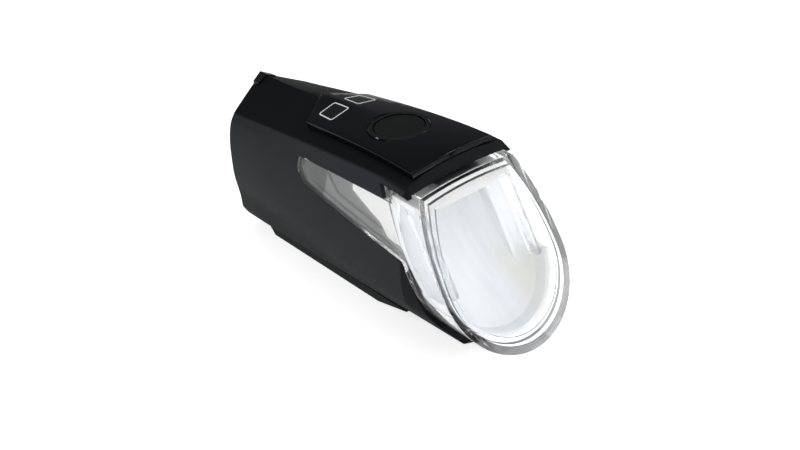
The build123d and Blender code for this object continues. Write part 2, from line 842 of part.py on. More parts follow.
for name, space in (("left_side", left_space), ("right_side", right_space)):
    with BuildPart() as tray:
        add(tray_form)
        add(back_form, mode=Mode.SUBTRACT)
        add(wing_prism(tray_border), mode=Mode.INTERSECT)
        with BuildPart(mode=Mode.PRIVATE) as floor_cut:
            add(wing_prism(-tray_margin))
            add(floor_form, mode=Mode.SUBTRACT)
        add(floor_cut.part, mode=Mode.SUBTRACT)
        with BuildPart(mode=Mode.PRIVATE) as low_cut:
            add(side_prism(mid_outline))
            add(low_form, mode=Mode.SUBTRACT)
        add(low_cut.part, mode=Mode.SUBTRACT)
        with BuildPart(mode=Mode.PRIVATE) as pocket_cut:
            add(side_prism(pale_outline))
            add(pocket_form, mode=Mode.SUBTRACT)
        add(pocket_cut.part, mode=Mode.SUBTRACT)
        add(behind_lens, mode=Mode.INTERSECT)
        add(space, mode=Mode.INTERSECT)
        add(level_block(tray_inner_x, nose_y - overrun, tail_y, 0, body_z), mode=Mode.SUBTRACT)
    keep(tray, name + "_tray")
    with BuildPart() as pale_panel:
        add(body_solid(tray_pocket - pale_panel_thickness))
        add(pocket_form, mode=Mode.SUBTRACT)
        add(side_prism(pale_outline), mode=Mode.INTERSECT)
        add(behind_lens, mode=Mode.INTERSECT)
        add(space, mode=Mode.INTERSECT)
    keep(pale_panel, name + "_reflector_strip")

# Top panel on its adhesive, with an opening for the button and one for each mode window.
tape_form = body_solid(-panel_tape)
panel_form = body_solid(-panel_top)

with BuildPart() as panel_tape_sheet:
    add(plan_prism(panel_outline(tape_inset), panel_low_z))
    add(tape_form, mode=Mode.INTERSECT)
    add(outer_form, mode=Mode.SUBTRACT)
    with Locations(button_top.location):
        Cylinder(ring_radius + fit_gap, 2 * well_depth, mode=Mode.SUBTRACT)
    for side in (-1, 1):
        add(plan_prism(window_outline(side, pipe_margin - fit_gap)), mode=Mode.SUBTRACT)
keep(panel_tape_sheet, "panel_tape")

with BuildPart() as top_panel:
    add(plan_prism(panel_outline(0), panel_low_z))
    add(panel_form, mode=Mode.INTERSECT)
    rim_edges = [
        edge for edge in top_panel.edges()
        if edge.center().Z > panel_low_z + thin_gap
        and abs(edge.tangent_at().Z) < panel_steepness
        and max(abs(vertex.X) for vertex in edge.vertices()) > thin_gap
    ]
    fillet(rim_edges, radius=panel_round)
    add(body_solid(-panel_tape - tape_gap), mode=Mode.SUBTRACT)
    with Locations(button_top.location):
        Cylinder(ring_radius + fit_gap, 2 * well_depth, mode=Mode.SUBTRACT)
    for side in (-1, 1):
        add(plan_prism(window_outline(side, -thin_gap), panel_low_z, corner_radius=window_corner_radius),
            mode=Mode.SUBTRACT)
keep(top_panel, "top_panel")

# Mode windows and the light pipes that join them to the small lamps on the board.
for side, name in ((-1, "left_mode_window"), (1, "right_mode_window")):
    with BuildPart() as mode_window:
        add(plan_prism(window_outline(side, 0), panel_low_z, corner_radius=window_corner_radius))
        add(panel_form, mode=Mode.INTERSECT)
        add(tape_form, mode=Mode.SUBTRACT)
    keep(mode_window, name)

window_middle_x = (window_inner_x + window_far_x) / 2
window_middle_y = (window_near_y + window_far_y) / 2
led_spots = [(side * window_middle_x, window_middle_y - board_top.origin.Y) for side in (-1, 1)]
with BuildPart() as pipe_room:
    with BuildSketch(board_top.offset(led_height + fit_gap)):
        with Locations((0, window_middle_y - board_top.origin.Y)):
            Rectangle(4 * window_near_x, 4 * overrun)
    extrude(amount=body_z)

with BuildPart() as light_pipes:
    for side in (-1, 1):
        add(plan_prism(window_outline(side, pipe_margin)))
    add(tape_form, mode=Mode.INTERSECT)
    add(pipe_room.part, mode=Mode.INTERSECT)
keep(light_pipes, "light_pipes")

with BuildPart() as indicator_leds:
    with BuildSketch(board_top):
        with Locations(*led_spots):
            Rectangle(led_size, led_size)
    extrude(amount=led_height)
keep(indicator_leds, "indicator_leds")

# Push button: bezel ring, cap with its stem, and the seal under it.
with BuildPart() as button_ring:
    add(rod(button_top, ring_radius, -well_depth))
    chamfer(button_ring.faces().sort_by(Axis.Z)[-1].edges(), length=ring_bevel)
    add(body_solid(-thin_gap), mode=Mode.SUBTRACT)
    add(rod(button_top.offset(-ring_bevel), ring_neck_radius, -well_depth + seal_thickness + ring_bevel))
    add(rod(button_top.offset(overrun), ring_bore_radius, -well_depth - overrun), mode=Mode.SUBTRACT)
keep(button_ring, "button_ring")

cap_top = button_top.offset(-button_recess)
stem_length = well_depth + stem_rise - button_recess
with BuildPart() as button_cap:
    add(rod(cap_top, button_radius, -button_thickness))
    fillet(button_cap.faces().sort_by(Axis.Z)[-1].edges(), radius=button_round)
    add(rod(cap_top.offset(-button_thickness / 2), stem_radius, -stem_length + button_thickness / 2))
keep(button_cap, "button_cap")

with BuildPart() as button_seal:
    add(tube(button_top.offset(-well_depth + thin_gap), ring_neck_radius, stem_radius + thin_gap,
             seal_thickness - 2 * thin_gap))
keep(button_seal, "button_seal")

with BuildPart() as switch_plunger:
    add(rod(cap_top.offset(-stem_length), plunger_radius, -plunger_length))
keep(switch_plunger, "switch_plunger")

with BuildPart() as tact_switch:
    with BuildSketch(switch_top):
        Rectangle(switch_size, switch_size)
        fillet(vertices(), radius=switch_size / 10)
    extrude(amount=-switch_height)
    add(rod(switch_top.offset(overrun), plunger_radius + thin_gap, -switch_bore_depth - overrun),
        mode=Mode.SUBTRACT)
keep(tact_switch, "tact_switch")

with BuildPart() as button_board:
    with BuildSketch(board_top):
        with Locations((0, (button_board_front_y + button_board_rear_y) / 2 - board_top.origin.Y)):
            Rectangle(2 * button_board_half_width, button_board_rear_y - button_board_front_y)
        fillet(vertices(), radius=board_corner_radius)
    extrude(amount=-button_board_thickness)
    for plane in button_board_screw_planes:
        add(screw_hole(plane, screw_length), mode=Mode.SUBTRACT)
keep(button_board, "button_board")

with BuildPart() as button_board_screws:
    for plane in button_board_screw_planes:
        add(screw(plane, screw_length))
keep(button_board_screws, "button_board_screws")

# Cell with its welded tabs, in a cradle that also carries the main board.
cell_rear_y = cell_front_y + cell_length
nub_y = cell_front_y - cell_button_height
with BuildPart() as battery_cell:
    add(rod(cell_front, cell_radius, cell_length))
    fillet(battery_cell.edges(), radius=cell_button_height)
    add(rod(cell_front.offset(-cell_button_height), cell_button_radius, 2 * cell_button_height))
keep(battery_cell, "battery_cell")

tab_top_z = board_z - thin_gap
for name, wall_y, outward, board_y in (
    ("cell_tab_front", nub_y, -1, board_front_y + post_inset),
    ("cell_tab_rear", cell_rear_y, 1, board_rear_y - post_inset),
):
    outer_y = wall_y + outward * tab_thickness
    wall_low_y, wall_high_y = sorted((wall_y, outer_y))
    strip_low_y, strip_high_y = sorted((outer_y, board_y))
    with BuildPart() as cell_tab:
        add(brick(-tab_half_width, tab_half_width, wall_low_y, wall_high_y, cell_z - tab_half_width, tab_top_z))
        add(brick(-tab_half_width, tab_half_width, strip_low_y, strip_high_y, tab_top_z - tab_thickness, tab_top_z))
    keep(cell_tab, name)

cradle_radius = cell_radius + cradle_gap
stop_y = nub_y - tab_thickness - cradle_gap
cradle_front_y = stop_y - cradle_front_stop
with BuildPart() as cell_cradle:
    add(rod(cell_front.offset(cradle_front_y - cell_front_y), cradle_radius + cradle_wall,
            cradle_rear_y - cradle_front_y))
    add(brick(-body_half_width, body_half_width, cradle_front_y, cradle_rear_y, cell_z + cradle_rim_rise, body_z),
        mode=Mode.SUBTRACT)
    add(brick(-cradle_pad_half_width, cradle_pad_half_width, cradle_front_y, cradle_rear_y, floor_z, cell_z))
    for x, y in post_places:
        with Locations((x, y, board_z - thin_gap)):
            Cylinder(cradle_post_radius, board_z - post_low_z, align=(Align.CENTER, Align.CENTER, Align.MAX))
    add(rod(cell_front.offset(stop_y - cell_front_y), cradle_radius, cell_length), mode=Mode.SUBTRACT)
    for plane in main_board_screw_planes:
        add(screw_hole(plane, screw_length), mode=Mode.SUBTRACT)
keep(cell_cradle, "cell_cradle")

with BuildPart() as foam_pad:
    add(brick(-foam_half_width, foam_half_width, foam_front_y, foam_rear_y, cell_z + foam_half_width,
              board_z - thin_gap))
    add(rod(cell_front, cell_radius + thin_gap, cell_length), mode=Mode.SUBTRACT)
keep(foam_pad, "foam_pad")

with BuildPart() as end_foam:
    add(rod(cell_front.offset(cell_length + tab_thickness + thin_gap), end_foam_radius, 4 * overrun))
    add(behind_tail(cap_recess + cap_thickness + thin_gap), mode=Mode.SUBTRACT)
keep(end_foam, "end_foam")

with BuildPart() as main_board:
    with BuildSketch(Plane.XY.offset(board_z)):
        with Locations((0, (board_front_y + board_rear_y) / 2)):
            Rectangle(2 * board_half_width, board_rear_y - board_front_y)
        fillet(vertices(), radius=board_corner_radius)
    extrude(amount=board_thickness)
    for plane in main_board_screw_planes:
        add(screw_hole(plane, screw_length), mode=Mode.SUBTRACT)
keep(main_board, "main_board")

with BuildPart() as board_chips:
    for x, y, width, length, height in chip_places:
        with Locations((x, y, board_top_z)):
            Box(width, length, height, align=(Align.CENTER, Align.CENTER, Align.MIN))
keep(board_chips, "board_chips")

with BuildPart() as main_board_screws:
    for plane in main_board_screw_planes:
        add(screw(plane, screw_length))
keep(main_board_screws, "main_board_screws")

# Charge port on its own small board, and the headers that join the boards.
port_low_z = port_z - port_half_height
port_board_rear_y = tail_y - cap_recess - cap_thickness - cap_block_depth - fit_gap
port_board_front_y = port_board_rear_y - port_board_length
port_face = Plane(origin=(0, port_mouth_y, port_z), x_dir=(-1, 0, 0), z_dir=(0, 1, 0))
with BuildPart() as charge_port:
    with BuildSketch(port_face):
        SlotOverall(2 * port_half_width, 2 * port_half_height)
    extrude(amount=-port_length)
    with BuildSketch(port_face):
        SlotOverall(2 * (port_half_width - port_wall), 2 * (port_half_height - port_wall))
    extrude(amount=-port_length + 2 * port_wall, mode=Mode.SUBTRACT)
keep(charge_port, "charge_port")

with BuildPart() as port_tongue:
    add(brick(-port_tongue_half_width, port_tongue_half_width, port_mouth_y - port_length + 2 * port_wall,
              port_mouth_y - port_tongue_recess, port_z - port_tongue_half_height, port_z + port_tongue_half_height))
keep(port_tongue, "port_tongue")

with BuildPart() as port_board:
    add(brick(-port_board_half_width, port_board_half_width, port_board_front_y, port_board_rear_y,
              port_low_z - port_board_thickness, port_low_z))
keep(port_board, "port_board")

header_rear_y = button_header_y + header_length
button_header_top_z = board_bottom.origin.Z - button_slope * (header_rear_y - board_bottom.origin.Y)
with BuildPart() as board_headers:
    add(brick(-header_half_width, header_half_width, port_board_front_y, port_board_front_y + header_length,
              board_top_z, port_low_z - port_board_thickness))
    add(brick(-header_half_width, header_half_width, button_header_y, header_rear_y,
              board_top_z, button_header_top_z))
keep(board_headers, "board_headers")

# Rear cap: a V-shaped plate with a thick block round the charge port and the flap's hinge.
cap_inset = body_wall + thin_gap
cap_back = cap_recess + cap_thickness
cap_form = flat_bottomed(body_solid(cap_inset), floor_z + thin_gap)
seal_core = flat_bottomed(body_solid(cap_inset + cap_seal_width), floor_z + thin_gap + cap_seal_width)
block_front_y = tail_y - cap_back - cap_block_depth
hinge_axis = Plane(origin=(-pin_half_length, hinge_y, hinge_z), x_dir=(0, 1, 0), z_dir=(1, 0, 0))
flap_floor = cap_recess + flap_thickness

with BuildPart() as cap_groove:
    add(cap_form)
    add(seal_core, mode=Mode.SUBTRACT)
    add(behind_tail(cap_recess + cap_seal_offset + cap_seal_depth), mode=Mode.INTERSECT)
    add(behind_tail(cap_recess + cap_seal_offset), mode=Mode.SUBTRACT)

with BuildPart() as flap_pocket:
    add(brick(-flap_half_width - flap_gap, flap_half_width + flap_gap, block_front_y, tail_y + overrun,
              flap_low_z - flap_foot_gap, body_z))
    add(behind_tail(flap_floor + flap_gap), mode=Mode.INTERSECT)

with BuildPart() as rear_cap:
    add(cap_form)
    add(behind_tail(cap_back), mode=Mode.INTERSECT)
    add(brick(-cap_block_half_width, cap_block_half_width, block_front_y, tail_y, cap_block_low_z, cap_block_high_z))
    add(cap_form, mode=Mode.INTERSECT)
    add(behind_tail(cap_recess), mode=Mode.SUBTRACT)
    add(cap_groove.part, mode=Mode.SUBTRACT)
    add(flap_pocket.part, mode=Mode.SUBTRACT)
    add(brick(-knuckle_half_width - flap_gap, knuckle_half_width + flap_gap, hinge_y - hinge_slot_depth,
              tail_y + overrun, hinge_slot_low_z, flap_low_z + tongue_rise + flap_gap), mode=Mode.SUBTRACT)
    add(brick(-plug_half_width - plug_gap, plug_half_width + plug_gap, port_mouth_y, tail_y + overrun,
              port_z - plug_half_height - plug_gap, port_z + plug_half_height + plug_gap), mode=Mode.SUBTRACT)
    with BuildSketch(port_face):
        SlotOverall(2 * (port_half_width + fit_gap), 2 * (port_half_height + fit_gap))
    extrude(amount=-port_length, mode=Mode.SUBTRACT)
    add(rod(hinge_axis, pin_radius, 2 * pin_half_length), mode=Mode.SUBTRACT)
    for plane in cap_screw_planes:
        add(rod(plane, screw_head_radius + fit_gap, 2 * overrun), mode=Mode.SUBTRACT)
        add(screw_hole(plane, screw_length), mode=Mode.SUBTRACT)
keep(rear_cap, "rear_cap")
keep(cap_groove, "cap_seal")

with BuildPart() as cap_screws:
    for plane in cap_screw_planes:
        add(screw(plane, screw_length))
keep(cap_screws, "cap_screws")

# Rubber flap: a plate with a plug for the port, a finger tab on the ridge and a hinge tongue.
with BuildPart() as flap_neck:
    add(level_block(flap_tab_half_width, block_front_y, tail_y, port_z, body_z))
    add(outer_form, mode=Mode.INTERSECT)

with BuildPart() as flap_plate:
    add(cap_form)
    add(level_block(flap_half_width, block_front_y, tail_y, flap_low_z, body_z), mode=Mode.INTERSECT)
    add(body_solid(cap_inset + flap_gap), mode=Mode.INTERSECT)
    add(flap_neck.part)
    add(behind_tail(flap_floor), mode=Mode.INTERSECT)
    add(behind_tail(cap_recess), mode=Mode.SUBTRACT)

with BuildPart() as flap_tab:
    add(level_block(flap_tab_half_width, flap_tab_front_y, tail_y + overrun, port_z, body_z))
    add(body_solid(-flap_tab_rise), mode=Mode.INTERSECT)
    add(body_solid(flap_notch_depth - flap_gap), mode=Mode.SUBTRACT)
    add(behind_tail(-flap_tab_overhang), mode=Mode.SUBTRACT)

with BuildPart() as tongue:
    add(side_prism((
        (hinge_y - tongue_thickness / 2, hinge_z),
        (hinge_y + tongue_thickness / 2, hinge_z),
        (tail_y, flap_low_z),
        (tail_y, flap_low_z + tongue_rise),
        (hinge_y - tongue_thickness / 4, flap_low_z + tongue_rise),
    ), knuckle_half_width))
    add(behind_tail(cap_recess), mode=Mode.SUBTRACT)

with BuildPart() as port_flap:
    add(flap_plate.part)
    add(flap_tab.part)
    add(level_block(plug_half_width, tail_y - flap_floor - plug_depth, tail_y - flap_floor - thin_gap,
                    port_z - plug_half_height, port_z + plug_half_height))
    add(tongue.part)
    add(rod(hinge_axis.offset(pin_half_length - knuckle_half_width), knuckle_radius, 2 * knuckle_half_width))
    add(rod(hinge_axis, pin_radius + thin_gap, 2 * pin_half_length), mode=Mode.SUBTRACT)
keep(port_flap, "port_flap")

with BuildPart() as flap_pin:
    add(rod(hinge_axis, pin_radius, 2 * pin_half_length))
keep(flap_pin, "flap_pin")

# Foot: a rail with a T-slot that is open at the rear, and a notch for the bracket's latch.
with BuildPart() as foot_rail:
    add(side_prism((
        (foot_rear_y, foot_bevel),
        (foot_rear_y - foot_bevel, 0),
        (foot_ramp_y, 0),
        (foot_front_y, underside_z),
        (foot_rear_y, underside_z),
    ), foot_half_width))
    low_edges = foot_rail.faces().filter_by(Axis.Z).sort_by(Axis.Z)[0].edges().filter_by(Axis.Y)
    chamfer(low_edges, length=foot_edge)
    add(level_block(slot_half_width, slot_stop_y, foot_rear_y + overrun, -overrun, slot_roof_z), mode=Mode.SUBTRACT)
    add(level_block(slot_half_width + slot_undercut, slot_stop_y, foot_rear_y + overrun, slot_lip, slot_roof_z),
        mode=Mode.SUBTRACT)
    add(level_block(latch_width / 2, latch_y - latch_length / 2, latch_y + latch_length / 2, slot_lip,
                    slot_roof_z + latch_depth), mode=Mode.SUBTRACT)
    for plane in foot_screw_planes:
        add(screw_hole(plane, foot_screw_length), mode=Mode.SUBTRACT)
keep(foot_rail, "foot_rail")

with BuildPart() as foot_screws:
    for plane in foot_screw_planes:
        add(screw(plane, foot_screw_length))
keep(foot_screws, "foot_screws")
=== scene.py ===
"""The looks of a bike headlight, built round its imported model. Lengths are in metres."""

import json
import math

import bmesh
import bpy
from mathutils import Matrix, Vector
from mathutils.bvhtree import BVHTree


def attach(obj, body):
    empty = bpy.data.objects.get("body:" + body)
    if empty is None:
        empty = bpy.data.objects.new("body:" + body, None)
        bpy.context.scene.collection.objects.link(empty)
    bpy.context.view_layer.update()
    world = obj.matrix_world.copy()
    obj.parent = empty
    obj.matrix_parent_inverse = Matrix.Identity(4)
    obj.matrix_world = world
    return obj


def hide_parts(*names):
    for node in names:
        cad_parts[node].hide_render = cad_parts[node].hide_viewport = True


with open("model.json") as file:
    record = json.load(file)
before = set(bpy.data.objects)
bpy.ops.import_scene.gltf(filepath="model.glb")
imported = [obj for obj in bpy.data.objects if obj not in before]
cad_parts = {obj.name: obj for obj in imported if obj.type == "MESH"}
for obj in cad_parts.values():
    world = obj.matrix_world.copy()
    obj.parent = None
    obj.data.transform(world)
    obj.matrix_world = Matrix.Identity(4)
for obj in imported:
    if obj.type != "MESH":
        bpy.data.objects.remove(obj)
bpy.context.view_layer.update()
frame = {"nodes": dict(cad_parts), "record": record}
nodes = frame["nodes"]

MM = 0.001
BODY = "lamp_body"


class Sock:
    """A shader socket that takes part in sums. Each operator adds its Math node."""

    def __init__(self, tree, out):
        self.tree = tree
        self.out = out

    def _math(self, operation, first, second):
        return self.tree.node("Math", first, second, operation=operation)

    def __add__(self, other):
        return self._math("ADD", self, other)

    def __sub__(self, other):
        return self._math("SUBTRACT", self, other)

    def __rsub__(self, other):
        return self._math("SUBTRACT", other, self)

    def __mul__(self, other):
        return self._math("MULTIPLY", self, other)

    def __truediv__(self, other):
        return self._math("DIVIDE", self, other)

    def __pow__(self, other):
        return self._math("POWER", self, other)

    def at_least(self, other):
        return self._math("MAXIMUM", self, other)

    def over(self, edge, width):
        """A mask that climbs from 0 to 1 as the value passes the edge."""
        return self.tree.node("Map Range", self, edge - width / 2, edge + width / 2, 0.0, 1.0,
                              interpolation_type="SMOOTHSTEP")

    def under(self, edge, width):
        """A mask that falls from 1 to 0 as the value passes the edge."""
        return 1 - self.over(edge, width)

    def spread(self, low, high):
        """A value from 0 to 1 as a value from low to high."""
        return self * (high - low) + low


NODE_TYPES = {
    "Math": "ShaderNodeMath",
    "Map Range": "ShaderNodeMapRange",
    "Noise": "ShaderNodeTexNoise",
    "Mix": "ShaderNodeMix",
    "Bump": "ShaderNodeBump",
    "Bevel": "ShaderNodeBevel",
    "Separate": "ShaderNodeSeparateXYZ",
    "Combine": "ShaderNodeCombineXYZ",
    "Coordinates": "ShaderNodeTexCoord",
    "Mapping": "ShaderNodeMapping",
    "Light Path": "ShaderNodeLightPath",
    "Background": "ShaderNodeBackground",
    "Emission": "ShaderNodeEmission",
    "Diffuse": "ShaderNodeBsdfDiffuse",
    "Mix Shader": "ShaderNodeMixShader",
    "Add Shader": "ShaderNodeAddShader",
    "Principled": "ShaderNodeBsdfPrincipled",
    "Transparent": "ShaderNodeBsdfTransparent",
}
# The Mix node's sockets for colours, which share their names with its sockets for numbers.
MIX_FIRST = 6
MIX_SECOND = 7
MIX_RESULT = 2
BEVEL_SAMPLES = 4


class Tree:
    """A node tree. Its node method makes any node and gives back one output, or the first."""

    def __init__(self, tree):
        self.tree = tree
        tree.nodes.clear()

    def node(self, kind, *values, output=0, named=None, **settings):
        made = self.tree.nodes.new(NODE_TYPES[kind])
        for name, value in settings.items():
            setattr(made, name, value)
        for socket, value in zip(made.inputs, values):
            self.feed(socket, value)
        for name, value in (named or {}).items():
            self.feed(made.inputs[name], value)
        return Sock(self, made.outputs[output])

    def feed(self, socket, value):
        """Link an output to the socket, or set the socket's value. None leaves it alone."""
        if isinstance(value, Sock):
            self.tree.links.new(value.out, socket)
        elif value is not None:
            socket.default_value = value

    def coordinates(self):
        """Object coordinates, in metres."""
        return self.node("Coordinates", output="Object")

    def axes(self):
        """Object coordinates as three numbers."""
        split = self.node("Separate", self.coordinates())
        outputs = split.out.node.outputs
        return [Sock(self, outputs[index]) for index in range(3)]

    def noise(self, size, detail, rough=0.5, vector=None):
        """Noise from 0 to 1 with features of the size."""
        return self.node("Noise", vector or self.coordinates(),
                         named={"Scale": 1 / size, "Detail": detail, "Roughness": rough})

    def bump(self, height, edge=0.0):
        """Bump of the height, over edges that look rounded by so many millimetres."""
        rounded = self.node("Bevel", edge * MM, samples=BEVEL_SAMPLES) if edge else None
        return self.node("Bump", named={"Height": height, "Strength": 1.0, "Distance": 1.0,
                                        "Normal": rounded})

    def blend(self, mask, first, second):
        """A colour that goes from the first to the second with the mask."""
        made = self.tree.nodes.new(NODE_TYPES["Mix"])
        made.data_type = "RGBA"
        self.feed(made.inputs["Factor"], mask)
        self.feed(made.inputs[MIX_FIRST], first)
        self.feed(made.inputs[MIX_SECOND], second)
        return Sock(self, made.outputs[MIX_RESULT])

    def ray(self, kind):
        """1 for rays of the kind, and 0 for the others."""
        return self.node("Light Path", output=f"Is {kind} Ray")

    def finish(self, shader, output_type="ShaderNodeOutputMaterial"):
        """End the tree in the shader."""
        output = self.tree.nodes.new(output_type)
        self.tree.links.new(shader.out, output.inputs["Surface"])


def colour(red, green, blue):
    return (red, green, blue, 1.0)


def grey(value):
    return (value, value, value, 1.0)


def tinted(base, factor):
    """A colour made lighter or darker by the factor."""
    return [channel * factor for channel in base[:3]] + [1.0]


def new_material(name):
    """An empty material and its tree."""
    made = bpy.data.materials.new(name)
    made.use_nodes = True
    return made, Tree(made.node_tree)


def material(name, paint, constants):
    """Make a material. paint gets the tree and gives the linked inputs of the shader."""
    made, tree = new_material(name)
    inputs = paint(tree)
    tree.finish(tree.node("Principled", named={**constants, **inputs}))
    return made


CLEAR_WAVE = 6 * MM
CLEAR_WAVE_HEIGHT = 0.004 * MM
CLEAR_ROUGHNESS = 0.03


def clear_material(name, share, base, refraction):
    """Clear plastic: part of what lies behind is bent by it, and part comes straight through."""
    made, tree = new_material(name)
    waves = tree.noise(CLEAR_WAVE, 1.0)
    bent = tree.node("Principled", named={
        "Base Color": base,
        "Transmission Weight": 1.0,
        "IOR": refraction,
        "Normal": tree.bump(waves * CLEAR_WAVE_HEIGHT),
        "Roughness": waves.spread(0.0, CLEAR_ROUGHNESS),
    })
    straight = tree.node("Transparent", grey(1.0))
    tree.finish(tree.node("Mix Shader", share, bent, straight))
    return made


MOULDED_GRAIN = 0.25
MOULDED_DEPTH = 0.02
MOULDED_PATCH = 14 * MM


def grained(base, light, low, high, grain=MOULDED_GRAIN, depth=MOULDED_DEPTH):
    """Moulded plastic: fine grain, slow changes of colour and sheen. Sizes are in millimetres."""
    def paint(tree):
        fine = tree.noise(grain * MM, 2.0)
        slow = tree.noise(MOULDED_PATCH, 3.0)
        return {
            "Base Color": tree.blend(slow.over(0.5, 0.5), base, light),
            "Roughness": slow.spread(low, high),
            "Normal": tree.bump(fine * (depth * MM)),
        }
    return paint


POLISHED_PATCH = 9 * MM
POLISHED_WAVE = 2.5 * MM
POLISHED_WAVE_HEIGHT = 0.003 * MM
POLISHED_TINT = 1.6


def polished(base, low, high, edge=0.0):
    """Glossy plastic: almost even, with faint waves and a few dull wiped patches."""
    def paint(tree):
        slow = tree.noise(POLISHED_PATCH, 3.0)
        waves = tree.noise(POLISHED_WAVE, 1.0)
        return {
            "Base Color": tree.blend(slow.over(0.5, 0.4), base, tinted(base, POLISHED_TINT)),
            "Roughness": slow.spread(low, high),
            "Normal": tree.bump(waves * POLISHED_WAVE_HEIGHT, edge),
        }
    return paint


BRUSH_LINE = 0.4 * MM
BRUSH_STRETCH = (0.08, 1.0, 1.0)
BRUSH_DEPTH = 0.004 * MM
BRUSH_TINT = 0.8


def brushed(base, low, high):
    """Metal with fine lines along the width."""
    def paint(tree):
        stretched = tree.node("Mapping", tree.coordinates(), None, None, BRUSH_STRETCH)
        lines = tree.noise(BRUSH_LINE, 4.0, 0.7, stretched)
        return {
            "Base Color": tree.blend(lines, base, tinted(base, BRUSH_TINT)),
            "Roughness": lines.spread(low, high),
            "Normal": tree.bump(lines * BRUSH_DEPTH),
        }
    return paint


# The edge between the roof and the sides: level at the front, and lower towards the rear. The roof
# above it is painted near black as shade.
SHOULDER_Z = 48.0 * MM
SHOULDER_Y = -17.0 * MM
SHOULDER_RUN = 71.7 * MM
SHOULDER_FALL = 10.3 * MM
SHOULDER_CURVE = 1.19
SHOULDER_BLUR = 0.5 * MM
# The hood's lip, which lies before this place, painted near black as shade.
LIP_Y = -27.4 * MM
LIP_BLUR = 0.3 * MM
# Where the sides turn from painted light lower down to painted shade higher up, and over what
# height.
SIDE_Z = 34 * MM
SIDE_BLUR = 22 * MM
HOUSING_EDGE = 0.3


def housing_with_painted_shade(tree):
    """Matte black plastic with painted shade: the roof and the hood's lip painted darkest, the
    sides painted lighter lower down and darker higher up.
    """
    _, y, z = tree.axes()
    fine = tree.noise(MOULDED_GRAIN * MM, 2.0)
    slow = tree.noise(MOULDED_PATCH, 3.0)
    rearward = ((y - SHOULDER_Y) / SHOULDER_RUN).at_least(0.0)
    above_shoulder = z - (SHOULDER_Z - rearward ** SHOULDER_CURVE * SHOULDER_FALL)
    roof = above_shoulder.over(-SHOULDER_BLUR, SHOULDER_BLUR)
    # Painted shade: the roof and the hood's lip are given a near-black colour.
    painted_shade = roof.at_least(y.under(LIP_Y, LIP_BLUR))
    # Painted light and shade on the sides: the lower colour lighter, the upper darker.
    side_low_painted_light = colour(0.025, 0.028, 0.029)
    side_high_painted_shade = colour(0.019, 0.022, 0.027)
    side = tree.blend(z.over(SIDE_Z, SIDE_BLUR), side_low_painted_light, side_high_painted_shade)
    side = tree.blend(slow.over(0.5, 0.5) * 0.2, side, colour(0.016, 0.018, 0.020))
    return {
        "Base Color": tree.blend(painted_shade, side, colour(0.0022, 0.0028, 0.0045)),
        "Roughness": slow.spread(0.5, 0.6),
        "Normal": tree.bump(fine * (MOULDED_DEPTH * MM), HOUSING_EDGE),
    }


# The step of the side trays: they are pale before it, and painted dark as shade behind it, where
# they lie deeper.
TRAY_STEP_Y = 5.9 * MM
TRAY_STEP_BLUR = 0.2 * MM
TRAY_GRAIN = 0.4 * MM
TRAY_PATCH = 8 * MM
TRAY_DEPTH = 0.006 * MM


def tray_with_painted_shade(tree):
    """Grey plastic, painted darker as shade behind the step, where it lies deeper, than before it.
    """
    _, y, _ = tree.axes()
    fine = tree.noise(TRAY_GRAIN, 2.0)
    slow = tree.noise(TRAY_PATCH, 2.0)
    front = tree.blend(slow, grey(0.15), grey(0.19))
    return {
        # Painted shade: the deeper part behind the step gets the dark grey.
        "Base Color": tree.blend(y.under(TRAY_STEP_Y, TRAY_STEP_BLUR), grey(0.024), front),
        "Roughness": slow.spread(0.35, 0.5),
        "Normal": tree.bump(fine * TRAY_DEPTH),
    }


# The bowl's streaks, narrow across and long down it, and its warm patch, low at the right.
STREAK_WIDTH = 2.2 * MM
STREAK_LENGTH = 16 * MM
STREAK_DEPTH = 0.01 * MM
BOWL_PATCH = 7 * MM
WARM_X = 7 * MM
WARM_X_BLUR = 5 * MM
WARM_Z = 21 * MM
WARM_Z_BLUR = 6 * MM


def bowl_finish(tree):
    """Metallised plastic, almost white, with soft streaks down it and a faint warm patch."""
    x, y, z = tree.axes()
    stretched = tree.node("Combine", x / STREAK_WIDTH, y / STREAK_LENGTH, z / STREAK_LENGTH)
    streaks = tree.noise(1.0, 3.0, 0.6, stretched)
    slow = tree.noise(BOWL_PATCH, 2.0)
    warm = x.over(WARM_X, WARM_X_BLUR) * z.under(WARM_Z, WARM_Z_BLUR) * slow
    pale = tree.blend(streaks.over(0.55, 0.3) * 0.4, colour(0.88, 0.90, 0.93),
                      colour(0.76, 0.79, 0.83))
    return {
        "Base Color": tree.blend(warm * 0.6, pale, colour(0.80, 0.76, 0.56)),
        "Roughness": slow.spread(0.3, 0.42),
        "Normal": tree.bump(streaks * STREAK_DEPTH),
    }


METAL = {"Metallic": 1.0}


def shine(level):
    """The strength of reflections."""
    return {"Specular IOR Level": level}


